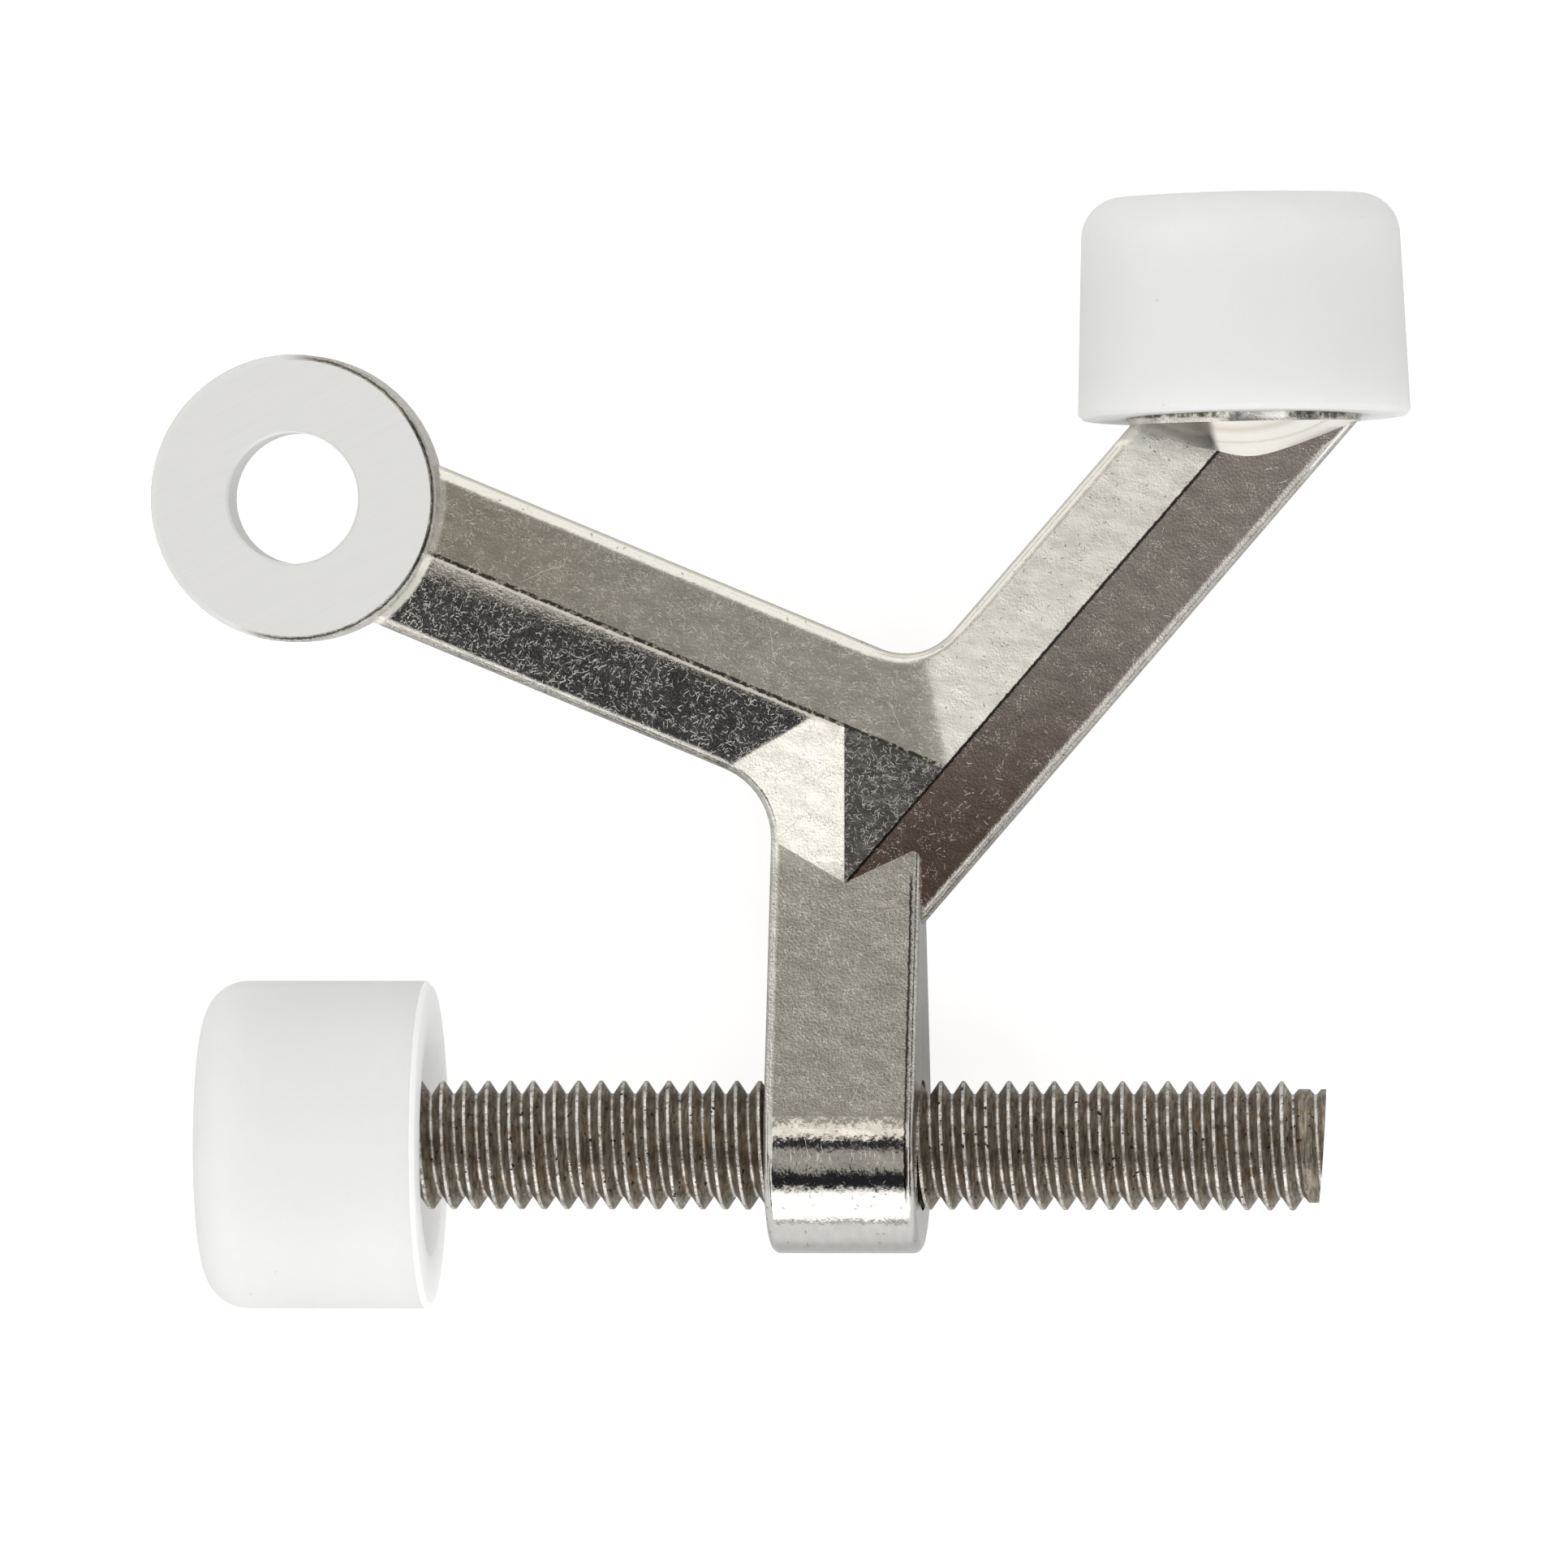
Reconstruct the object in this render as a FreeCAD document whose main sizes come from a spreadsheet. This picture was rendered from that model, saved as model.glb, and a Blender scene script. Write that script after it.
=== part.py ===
import FreeCAD, Part
import math
import os
import Sketcher

# Hinge pin door stop. The hinge pin's axis is Z, through the origin, and the ring's mid-plane is z = 0.
# The casting is alike above and below that plane. Lengths are in millimetres, angles in degrees.
SIZES = {
    # Ring that slides over the hinge pin
    "bore_diameter": 8.05,
    "bore_edge_chamfer": 0.15,
    "ring_diameter": 17.7,
    "ring_thickness": 5.0,
    "ring_edge_chamfer": 0.35,
    # Arms with a low ridge along the middle of each face
    "ridge_height": 2.2,
    "arm_slope_angle": 17.2,
    "arm_edge_round": 0.6,
    "left_arm_angle": 22.5,
    "left_arm_width": 10.5,
    "right_arm_angle": 49.1,
    "right_arm_width": 10.4,
    "top_crotch_radius": 3.9,
    "left_crotch_radius": 4.6,
    # Leg that thickens down to the round boss about the rod
    "leg_offset": 34.05,
    "leg_width": 9.3,
    "leg_slope_angle": 9.7,
    "leg_edge_round": 0.6,
    "hub_drop": 23.65,
    "rod_drop": 39.8,
    "boss_radius": 6.65,
    # Disc and stud for the fixed bumper
    "stud_diameter": 14.3,
    "stud_base_level": 4.6,
    "stud_showing": 0.7,
    "stud_lean": 1.2,
    "stud_cone_angle": 21.0,
    "stud_neck_diameter": 3.0,
    "stud_end_chamfer": 0.8,
    # Rod with a round head
    "rod_diameter": 7.94,
    "rod_length": 62.2,
    "rod_end_chamfer": 0.25,
    "rod_clearance": 0.05,
    "thread_pitch": 1.411,
    "thread_depth": 0.8,
    "rod_head_diameter": 13.4,
    "rod_head_thickness": 3.0,
    "rod_head_chamfer": 0.5,
    # Bumper on the rod's head
    "rod_bumper_reach": 39.85,
    "rod_bumper_diameter": 20.2,
    "rod_bumper_length": 14.1,
    "rod_bumper_nose": 3.6,
    "head_clearance": 0.1,
    "head_seat_gap": 0.05,
    # Bumper pressed on the stud
    "fixed_bumper_nose_diameter": 19.4,
    "fixed_bumper_mouth_diameter": 20.5,
    "fixed_bumper_length": 13.5,
    "fixed_bumper_nose": 4.0,
    "fixed_bumper_mouth_slant": 2.1,
    "stud_clearance": 0.02,
    # Both bumpers
    "bumper_corner_round": 2.6,
    "bumper_mouth_chamfer": 0.3,
    "bumper_dome": 0.35,
}

TOLERANCE = 1e-4
UP = FreeCAD.Vector(0, 0, 1)

doc = FreeCAD.newDocument("hinge_pin_door_stop")
sheet = doc.addObject("Spreadsheet::Sheet", "sizes")
for row, (alias, number) in enumerate(SIZES.items(), start=1):
    sheet.set("A%d" % row, alias)
    sheet.set("B%d" % row, str(number))
    sheet.setAlias("B%d" % row, alias)
doc.recompute()

# Where the three ridges cross, as formulas. The left arm's ridge leaves the origin, the leg's ridge is
# upright at leg_offset, and the right arm's ridge crosses the leg's at hub_drop below the origin.
FALL = "tan(sizes.left_arm_angle)"
RISE = "tan(sizes.right_arm_angle)"
LEG_TOP = f"(-sizes.leg_offset * {FALL})"
HUB_TIP = "(-sizes.hub_drop)"
ARMS_CROSS_X = f"((sizes.leg_offset * {RISE} + sizes.hub_drop) / ({FALL} + {RISE}))"
ARMS_CROSS_Y = f"(-{ARMS_CROSS_X} * {FALL})"
STUD_X = f"(sizes.leg_offset + (sizes.stud_base_level + sizes.hub_drop) / {RISE})"


def value(alias):
    """A size from the sheet."""
    return float(getattr(sheet, alias))


def place(thing, x="0", y="0", z="0", turn="0", axis=UP):
    """Ties a placement to formulas: its base point, and its turn about an axis."""
    thing.Placement = FreeCAD.Placement(FreeCAD.Vector(), FreeCAD.Rotation(axis, 1))
    thing.setExpression("Placement.Base.x", x)
    thing.setExpression("Placement.Base.y", y)
    thing.setExpression("Placement.Base.z", z)
    thing.setExpression("Placement.Rotation.Angle", turn)


def new_sketch(body, role):
    """An empty sketch on one of the body's own origin planes."""
    plane = [item for item in body.Origin.OriginFeatures if item.Role == role][0]
    sketch = body.newObject("Sketcher::SketchObject", body.Name + "_sketch")
    sketch.AttachmentSupport = [(plane, "")]
    sketch.MapMode = "FlatFace"
    return sketch


def measure(sketch, kind, edge, end, formula):
    """Ties a distance of a sketch point from the sketch's origin."""
    point = sketch.getPoint(edge, end)
    now = point.x if kind == "DistanceX" else point.y
    number = sketch.addConstraint(Sketcher.Constraint(kind, -1, 1, edge, end, now))
    sketch.setExpression("Constraints[%d]" % number, formula)


def polygon(sketch, corners):
    """A closed outline of straight edges through corners given as pairs of formulas."""
    count = len(corners)
    ring = [FreeCAD.Vector(math.cos(angle), math.sin(angle), 0) for angle in
            (2 * math.pi * step / count for step in range(count))]
    for step in range(count):
        sketch.addGeometry(Part.LineSegment(ring[step], ring[(step + 1) % count]), False)
    for step, (x, y) in enumerate(corners):
        sketch.addConstraint(Sketcher.Constraint("Coincident", step, 2, (step + 1) % count, 1))
        measure(sketch, "DistanceX", step, 1, x)
        measure(sketch, "DistanceY", step, 1, y)


def pad(body, sketch, length, both_ways=True):
    """Thickens a sketch to a formula's length."""
    solid = body.newObject("PartDesign::Pad", body.Name + "_pad")
    solid.Profile = sketch
    solid.SideType = "Symmetric" if both_ways else "One side"
    solid.setExpression("Length", length)
    return solid


def turn(body, sketch):
    """Turns a body's sketch about the sketch's own upright axis."""
    solid = body.newObject("PartDesign::Revolution", sketch.Name + "_turned")
    solid.Profile = sketch
    solid.ReferenceAxis = (sketch, ["V_Axis"])
    solid.Angle = 360
    doc.recompute()
    return solid


def turned(name, corners, role="XY_Plane"):
    """A body turned about its upright sketch axis, from corners given as radius and height."""
    body = doc.addObject("PartDesign::Body", name)
    sketch = new_sketch(body, role)
    polygon(sketch, corners)
    turn(body, sketch)
    return body


def fillet(body, name, edges, radius):
    """Rounds chosen edges of a body's last feature, to a formula's radius."""
    base = body.Tip
    feature = body.newObject("PartDesign::Fillet", name)
    feature.Base = (base, edges)
    feature.setExpression("Radius", radius)
    doc.recompute()
    return feature


def fuse(name, parts):
    """One solid of several."""
    joined = doc.addObject("Part::MultiFuse", name)
    joined.Shapes = parts
    joined.Refine = True
    return joined


def bar(name, length, width, x, y, turn):
    """Flat-sided bar about an arm's middle line, from its start point and turned in the plan."""
    block = doc.addObject("Part::Box", name + "_bar")
    block.setExpression("Length", length)
    block.setExpression("Width", width)
    block.setExpression("Height", "2 * sizes.ridge_height")
    across = f"{width} / 2 * sin({turn})"
    along = f"{width} / 2 * cos({turn})"
    place(block, f"{x} + {across}", f"{y} - {along}", "-sizes.ridge_height", turn)
    return block


def roof(name, length, slope, x, y, turn, one_sided=False):
    """Ridge of an arm, above and below: its faces fall to the mid-plane, past the arm's own edges."""
    body = doc.addObject("PartDesign::Body", name + "_roof")
    foot = f"(sizes.ridge_height / tan({slope}))"
    corners = [(f"-{foot}", "0"), ("0", "-sizes.ridge_height"), ("0", "sizes.ridge_height")]
    if not one_sided:
        corners.insert(2, (foot, "0"))
    sketch = new_sketch(body, "YZ_Plane")
    polygon(sketch, corners)
    pad(body, sketch, length, both_ways=False)
    place(body, x, y, "0", turn)
    return body


# Arms in the plan: flat-sided bars, later rounded into each other at two crotches
left_arm_length = f"{ARMS_CROSS_X} / cos(sizes.left_arm_angle)"
right_arm_length = (
    "(sizes.stud_base_level + sizes.hub_drop) / sin(sizes.right_arm_angle)"
    f" + sizes.right_arm_width / 2 / {RISE}"
)
left_start = ("0", "0", "-sizes.left_arm_angle")
right_start = ("sizes.leg_offset", HUB_TIP, "sizes.right_arm_angle")
leg_start = ("sizes.leg_offset", LEG_TOP, "-90")
bars = [
    bar("left_arm", left_arm_length, "sizes.left_arm_width", *left_start),
    bar("right_arm", right_arm_length, "sizes.right_arm_width", *right_start),
    bar("leg", f"{LEG_TOP} + sizes.rod_drop", "sizes.leg_width", *leg_start),
]
plan = fuse("arms_plan", bars)

# Ridged faces of the arms, and the flat triangle that their three ridges leave between them
hub = doc.addObject("PartDesign::Body", "hub_flat")
hub_sketch = new_sketch(hub, "XY_Plane")
polygon(
    hub_sketch,
    [("sizes.leg_offset", LEG_TOP), ("sizes.leg_offset", HUB_TIP), (ARMS_CROSS_X, ARMS_CROSS_Y)],
)
pad(hub, hub_sketch, "2 * sizes.ridge_height")
roofs = [
    roof("left_arm", left_arm_length, "sizes.arm_slope_angle", *left_start),
    roof("right_arm", right_arm_length, "sizes.arm_slope_angle", *right_start),
    roof("leg", f"{LEG_TOP} - {HUB_TIP}", "sizes.leg_slope_angle", *leg_start, one_sided=True),
]
ridges = fuse("arm_ridges", roofs + [hub])
doc.recompute()


def corner(first, second):
    """Where two lines cross in the plan, each given by a point, its angle and its offset to the left."""
    (ax, ay, turn_a, side_a), (bx, by, turn_b, side_b) = first, second
    cos_a, sin_a = math.cos(math.radians(turn_a)), math.sin(math.radians(turn_a))
    cos_b, sin_b = math.cos(math.radians(turn_b)), math.sin(math.radians(turn_b))
    across_x = bx - side_b * sin_b - ax + side_a * sin_a
    across_y = by + side_b * cos_b - ay - side_a * cos_a
    along = (across_x * sin_b - across_y * cos_b) / (cos_a * sin_b - sin_a * cos_b)
    return ax - side_a * sin_a + along * cos_a, ay + side_a * cos_a + along * sin_a


def upright_edge(shape, point):
    """Number of the shape's upright edge nearest to a point of the plan."""
    upright = [
        (math.dist((edge.CenterOfMass.x, edge.CenterOfMass.y), point), number)
        for number, edge in enumerate(shape.Edges, start=1)
        if abs(edge.tangentAt(edge.FirstParameter).z) > 1 - TOLERANCE
    ]
    return min(upright)[1]


def wall_edges(shape, top, shortest):
    """Numbers of the upper edges between a low upright wall and a sloping face, without short ones, which
    lie hidden in the leg."""
    numbers = []
    for number, edge in enumerate(shape.Edges, start=1):
        upright = abs(edge.tangentAt(edge.FirstParameter).z) > 1 - TOLERANCE
        if upright or edge.CenterOfMass.z < TOLERANCE or edge.Length < shortest:
            continue
        walls = 0
        for face in shape.ancestorsOfType(edge, Part.Face):
            u_low, u_high, v_low, v_high = face.ParameterRange
            normal = face.normalAt((u_low + u_high) / 2, (v_low + v_high) / 2)
            if abs(normal.z) < TOLERANCE and face.BoundBox.ZMax < top:
                walls += 1
        if walls == 1:
            numbers.append(number)
    return numbers


left_line = (0, 0, -value("left_arm_angle"))
right_line = (value("leg_offset"), -value("hub_drop"), value("right_arm_angle"))
leg_line = (value("leg_offset"), 0, -90)
top_crotch = corner(
    (*left_line, value("left_arm_width") / 2), (*right_line, value("right_arm_width") / 2)
)
left_crotch = corner((*left_line, -value("left_arm_width") / 2), (*leg_line, -value("leg_width") / 2))
rounded_plan = doc.addObject("Part::Fillet", "rounded_plan")
rounded_plan.Base = plan
rounded_plan.Edges = [
    (upright_edge(plan.Shape, point), radius, radius)
    for point, radius in (
        (top_crotch, value("top_crotch_radius")),
        (left_crotch, value("left_crotch_radius")),
    )
]
arms = doc.addObject("Part::MultiCommon", "arms")
arms.Shapes = [rounded_plan, ridges]
arms.Refine = True
doc.recompute()


# The arms' upper edges are rounded, and their upper half is mirrored to the underside.
# A wall lower than this share of the ridge is an arm's own edge, and not the cut end of an arm.
WALL_TOP = 0.95
round_size = value("arm_edge_round")
rounded_arms = doc.addObject("Part::Fillet", "rounded_arms")
rounded_arms.Base = arms
rounded_arms.Edges = [
    (number, round_size, round_size)
    for number in wall_edges(arms.Shape, WALL_TOP * value("ridge_height"), round_size)
]
upper_space = doc.addObject("Part::Box", "upper_space")
upper_space.setExpression("Length", "4 * sizes.leg_offset")
upper_space.setExpression("Width", "4 * sizes.leg_offset")
upper_space.setExpression("Height", "sizes.ridge_height")
place(upper_space, "-2 * sizes.leg_offset", "-2 * sizes.leg_offset")
upper_arms = doc.addObject("Part::MultiCommon", "upper_arms")
upper_arms.Shapes = [rounded_arms, upper_space]
lower_arms = doc.addObject("Part::Mirroring", "lower_arms")
lower_arms.Source = upper_arms
lower_arms.Base = FreeCAD.Vector()
lower_arms.Normal = UP
whole_arms = fuse("whole_arms", [upper_arms, lower_arms])
doc.recompute()

# Leg: its two faces leave the hub's tip and run tangent into the boss, like a drop seen from the side
leg = doc.addObject("PartDesign::Body", "leg_wedge")
drop = new_sketch(leg, "YZ_Plane")
ridge = value("ridge_height")
hub_tip = value("hub_drop")
rod_level = value("rod_drop")
boss = value("boss_radius")
tip_reach = math.hypot(rod_level - hub_tip, ridge)
taper = math.asin(boss / tip_reach) - math.atan2(ridge, rod_level - hub_tip)
touch_y = boss * math.sin(taper) - rod_level
touch_z = boss * math.cos(taper)
top_y = ridge / 2 / math.tan(taper) - hub_tip
upper_top = FreeCAD.Vector(top_y, ridge / 2, 0)
lower_top = FreeCAD.Vector(top_y, -ridge / 2, 0)
upper_touch = FreeCAD.Vector(touch_y, touch_z, 0)
lower_touch = FreeCAD.Vector(touch_y, -touch_z, 0)
boss_circle = Part.Circle(FreeCAD.Vector(-rod_level, 0, 0), UP, boss)
half_open = math.pi / 2 - taper
FRONT, ROUND, BACK, TOP = range(4)
drop.addGeometry(Part.LineSegment(upper_top, upper_touch), False)
drop.addGeometry(Part.ArcOfCircle(boss_circle, half_open, 2 * math.pi - half_open), False)
drop.addGeometry(Part.LineSegment(lower_touch, lower_top), False)
drop.addGeometry(Part.LineSegment(lower_top, upper_top), False)
HUB_POINT = drop.addGeometry(Part.Point(FreeCAD.Vector(-hub_tip, ridge, 0)), True)
drop.addConstraint(Sketcher.Constraint("Tangent", FRONT, 2, ROUND, 1))
drop.addConstraint(Sketcher.Constraint("Tangent", ROUND, 2, BACK, 1))
drop.addConstraint(Sketcher.Constraint("Coincident", BACK, 2, TOP, 1))
drop.addConstraint(Sketcher.Constraint("Coincident", TOP, 2, FRONT, 1))
drop.addConstraint(Sketcher.Constraint("Symmetric", FRONT, 1, BACK, 2, -1))
drop.addConstraint(Sketcher.Constraint("PointOnObject", HUB_POINT, 1, FRONT))
measure(drop, "DistanceX", HUB_POINT, 1, HUB_TIP)
measure(drop, "DistanceY", HUB_POINT, 1, "sizes.ridge_height")
measure(drop, "DistanceX", ROUND, 3, "-sizes.rod_drop")
drop.addConstraint(Sketcher.Constraint("PointOnObject", ROUND, 3, -1))
measure(drop, "DistanceY", FRONT, 1, "sizes.ridge_height / 2")
boss_size = drop.addConstraint(Sketcher.Constraint("Radius", ROUND, boss))
drop.setExpression("Constraints[%d]" % boss_size, "sizes.boss_radius")
leg_pad = pad(leg, drop, "sizes.leg_width")
doc.recompute()


def side_edges(shape):
    """Names of the long edges of the two flat sides, without the short hidden ones at the top."""
    names = []
    for number, edge in enumerate(shape.Edges, start=1):
        if edge.BoundBox.XLength < TOLERANCE and edge.BoundBox.YLength > TOLERANCE:
            names.append("Edge%d" % number)
    return names


fillet(leg, "leg_rounds", side_edges(leg_pad.Shape), "sizes.leg_edge_round")
place(leg, "sizes.leg_offset")

# Ring about the hinge pin, with ground faces and broken edges
half_ring = "sizes.ring_thickness / 2"
ring_side = "sizes.ring_diameter / 2"
face_edge = f"{ring_side} - sizes.ring_edge_chamfer"
side_edge = f"({half_ring} - sizes.ring_edge_chamfer)"
ring = turned(
    "ring",
    [
        ("0", f"-{half_ring}"),
        (face_edge, f"-{half_ring}"),
        (ring_side, f"-{side_edge}"),
        (ring_side, side_edge),
        (face_edge, half_ring),
        ("0", half_ring),
    ],
    role="XZ_Plane",
)

bore = "sizes.bore_diameter / 2"
bore_lip = f"{bore} + sizes.bore_edge_chamfer"
bore_straight = f"({half_ring} - sizes.bore_edge_chamfer)"
pin_hole = turned(
    "pin_hole",
    [
        ("0", f"-{half_ring}"),
        (bore_lip, f"-{half_ring}"),
        (bore, f"-{bore_straight}"),
        (bore, bore_straight),
        (bore_lip, half_ring),
        ("0", half_ring),
    ],
    role="XZ_Plane",
)

# Stud: a shallow cone grows out of the right arm into a disc that goes on into the bumper
neck = "sizes.stud_neck_diameter / 2"
stud_side = "sizes.stud_diameter / 2"
cone_depth = f"(({stud_side} - {neck}) * tan(sizes.stud_cone_angle))"
stud_top = (
    "(sizes.stud_showing + sizes.fixed_bumper_length - sizes.fixed_bumper_nose - sizes.stud_clearance)"
)
stud = turned(
    "stud",
    [
        ("0", f"-{cone_depth}"),
        (neck, f"-{cone_depth}"),
        (stud_side, "0"),
        (stud_side, f"{stud_top} - sizes.stud_end_chamfer"),
        (f"{stud_side} - sizes.stud_end_chamfer", stud_top),
        ("0", stud_top),
    ],
)
place(stud, STUD_X, "sizes.stud_base_level", "0", "sizes.stud_lean")

# Cross hole for the rod, its thread taken at the rod's full size
rod_hole = doc.addObject("Part::Cylinder", "rod_hole")
rod_hole.setExpression("Radius", "sizes.rod_diameter / 2 + sizes.rod_clearance")
rod_hole.setExpression("Height", "2 * sizes.leg_width")
place(rod_hole, "sizes.leg_offset - sizes.leg_width", "-sizes.rod_drop", "0", "90", FreeCAD.Vector(0, 1, 0))

casting = doc.addObject("Part::Cut", "casting")
casting.Base = fuse("casting_blank", [whole_arms, leg, ring, stud])
casting.Tool = fuse("casting_holes", [pin_hole, rod_hole])

# Rod with its round head, drawn upwards from the head's outer face and laid along X. Its thread is a row of
# sharp ridges, one to each pitch, that stops one pitch short of the free end.
head = "sizes.rod_head_diameter / 2"
crest = "sizes.rod_diameter / 2"
root = f"({crest} - sizes.thread_depth)"
head_height = "sizes.rod_head_thickness"
rod_end = f"({head_height} + sizes.rod_length)"
threaded_rod = turned(
    "threaded_rod",
    [
        ("0", "0"),
        (f"{head} - sizes.rod_head_chamfer", "0"),
        (head, "sizes.rod_head_chamfer"),
        (head, f"{head_height} - sizes.rod_head_chamfer"),
        (f"{head} - sizes.rod_head_chamfer", head_height),
        (root, head_height),
        (root, f"{rod_end} - sizes.rod_end_chamfer"),
        (f"{root} - sizes.rod_end_chamfer", rod_end),
        ("0", rod_end),
    ],
)
RIDGES = "(floor(sizes.rod_length / sizes.thread_pitch) - 1)"
ridge_foot = f"({rod_end} - ({RIDGES} + 1) * sizes.thread_pitch)"
ridge_top = f"({ridge_foot} + sizes.thread_pitch)"
thread_core = f"({root} - sizes.thread_depth / 2)"
ridge_sketch = new_sketch(threaded_rod, "XY_Plane")
polygon(
    ridge_sketch,
    [
        (thread_core, ridge_foot),
        (root, ridge_foot),
        (crest, f"{ridge_foot} + sizes.thread_pitch / 2"),
        (root, ridge_top),
        (thread_core, ridge_top),
    ],
)
thread_ridge = turn(threaded_rod, ridge_sketch)
thread = threaded_rod.newObject("PartDesign::LinearPattern", "thread")
thread.Originals = [thread_ridge]
thread.Direction = (ridge_sketch, ["V_Axis"])
thread.setExpression("Length", f"({RIDGES} - 1) * sizes.thread_pitch")
thread.setExpression("Occurrences", RIDGES)
threaded_rod.Tip = thread
doc.recompute()
NOSE_X = "sizes.leg_offset - sizes.rod_bumper_reach"
place(threaded_rod, f"{NOSE_X} + sizes.rod_bumper_nose + sizes.head_seat_gap", "-sizes.rod_drop", "0", "-90")


def cup(name, nose_side, mouth_side, length, nose, recess):
    """A cup with a domed nose at its own origin and its mouth above. The dome runs tangent into the round
    corner and that into the side, which leads from nose_side to mouth_side. All but the name are formulas."""
    body = doc.addObject("PartDesign::Body", name)
    sketch = new_sketch(body, "XY_Plane")
    dome_radius = f"(({nose_side})^2 + sizes.bumper_dome^2) / (2 * sizes.bumper_dome)"

    # The drawn start is a plain cup with its true dome and corner, for the constraints to pull into place
    side = value("rod_bumper_diameter") / 2
    rise = value("bumper_dome")
    corner_round = value("bumper_corner_round")
    dome = (side * side + rise * rise) / (2 * rise)
    corner_y = dome - math.sqrt((dome - corner_round) ** 2 - (side - corner_round) ** 2)
    meet = math.atan2(corner_y - dome, side - corner_round)
    dome_circle = Part.Circle(FreeCAD.Vector(0, dome, 0), UP, dome)
    corner_circle = Part.Circle(FreeCAD.Vector(side - corner_round, corner_y, 0), UP, corner_round)
    mouth = value("rod_bumper_length")
    wall = value("rod_head_diameter") / 2
    floor = value("rod_bumper_nose")
    path = [(side, corner_y), (side, mouth), (wall, mouth), (wall, floor), (0, floor), (0, 0)]
    points = [FreeCAD.Vector(x, y, 0) for x, y in path]
    sketch.addGeometry(Part.ArcOfCircle(dome_circle, -math.pi / 2, meet), False)
    sketch.addGeometry(Part.ArcOfCircle(corner_circle, meet, 0), False)
    for first, second in zip(points, points[1:]):
        sketch.addGeometry(Part.LineSegment(first, second), False)
    DOME, CORNER, SIDE, MOUTH, WALL, FLOOR, AXIS = range(7)
    NOSE_POINT = sketch.addGeometry(Part.Point(FreeCAD.Vector(side, 0, 0)), True)

    sketch.addConstraint(Sketcher.Constraint("Tangent", DOME, 2, CORNER, 1))
    sketch.addConstraint(Sketcher.Constraint("Tangent", CORNER, 2, SIDE, 1))
    for edge in (SIDE, MOUTH, WALL, FLOOR):
        sketch.addConstraint(Sketcher.Constraint("Coincident", edge, 2, edge + 1, 1))
    sketch.addConstraint(Sketcher.Constraint("Coincident", AXIS, 2, DOME, 1))
    sketch.addConstraint(Sketcher.Constraint("Coincident", DOME, 1, -1, 1))
    sketch.addConstraint(Sketcher.Constraint("PointOnObject", DOME, 3, -2))
    sketch.addConstraint(Sketcher.Constraint("PointOnObject", NOSE_POINT, 1, SIDE))
    for edge, radius, formula in (
        (DOME, dome, dome_radius),
        (CORNER, corner_round, "sizes.bumper_corner_round"),
    ):
        size = sketch.addConstraint(Sketcher.Constraint("Radius", edge, radius))
        sketch.setExpression("Constraints[%d]" % size, formula)
    for edge, x, y in (
        (NOSE_POINT, nose_side, "0"),
        (MOUTH, mouth_side, length),
        (WALL, recess, length),
        (FLOOR, recess, nose),
        (AXIS, "0", nose),
    ):
        measure(sketch, "DistanceX", edge, 1, x)
        measure(sketch, "DistanceY", edge, 1, y)
    turn(body, sketch)
    return body


def outer_rim(shape, outwards):
    """Number of the longest edge of the flat face that lies furthest in a direction."""
    flat = [face for face in shape.Faces if isinstance(face.Surface, Part.Plane)]
    furthest = max(flat, key=lambda face: face.CenterOfMass.dot(outwards))
    longest = max(furthest.Edges, key=lambda edge: edge.Length)
    return [number for number, edge in enumerate(shape.Edges, start=1) if edge.isSame(longest)][0]


def lipped(name, base, outwards):
    """A bumper with the outer edge of its mouth broken."""
    size = value("bumper_mouth_chamfer")
    chamfered = doc.addObject("Part::Chamfer", name)
    chamfered.Base = base
    chamfered.Edges = [(outer_rim(base.Shape, outwards), size, size)]
    return chamfered


rod_cup = cup(
    "rod_cup",
    "sizes.rod_bumper_diameter / 2",
    "sizes.rod_bumper_diameter / 2",
    "sizes.rod_bumper_length",
    "sizes.rod_bumper_nose",
    f"({head} + sizes.head_clearance)",
)
place(rod_cup, NOSE_X, "-sizes.rod_drop", "0", "-90")

# The fixed bumper's cup is drawn too long, and its mouth is cut at a slant: the front rim is at the stated
# length and the rear rim reaches further over the stud
MOUTH_SIDE = "(sizes.fixed_bumper_mouth_diameter / 2)"
fixed_cup = cup(
    "fixed_cup",
    "sizes.fixed_bumper_nose_diameter / 2",
    MOUTH_SIDE,
    f"sizes.fixed_bumper_length + 2 * {MOUTH_SIDE} * tan(sizes.fixed_bumper_mouth_slant)",
    "sizes.fixed_bumper_nose",
    f"({stud_side} + sizes.stud_clearance)",
)
# The cutting block's lower face lies in the slanted mouth and reaches past both rims by the mouth's radius
REAR_REACH = f"3 * {MOUTH_SIDE}"
mouth_space = doc.addObject("Part::Box", "mouth_space")
mouth_space.setExpression("Length", f"4 * {MOUTH_SIDE}")
mouth_space.setExpression("Width", f"2 * {MOUTH_SIDE}")
mouth_space.setExpression("Height", f"4 * {MOUTH_SIDE}")
place(
    mouth_space,
    f"-2 * {MOUTH_SIDE}",
    f"sizes.fixed_bumper_length + {REAR_REACH} * sin(sizes.fixed_bumper_mouth_slant)",
    f"{MOUTH_SIDE} - {REAR_REACH} * cos(sizes.fixed_bumper_mouth_slant)",
    "sizes.fixed_bumper_mouth_slant",
    FreeCAD.Vector(1, 0, 0),
)
slanted_cup = doc.addObject("Part::Cut", "slanted_cup")
slanted_cup.Base = fixed_cup
slanted_cup.Tool = mouth_space
NOSE_RISE = "(sizes.stud_showing + sizes.fixed_bumper_length)"
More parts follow.
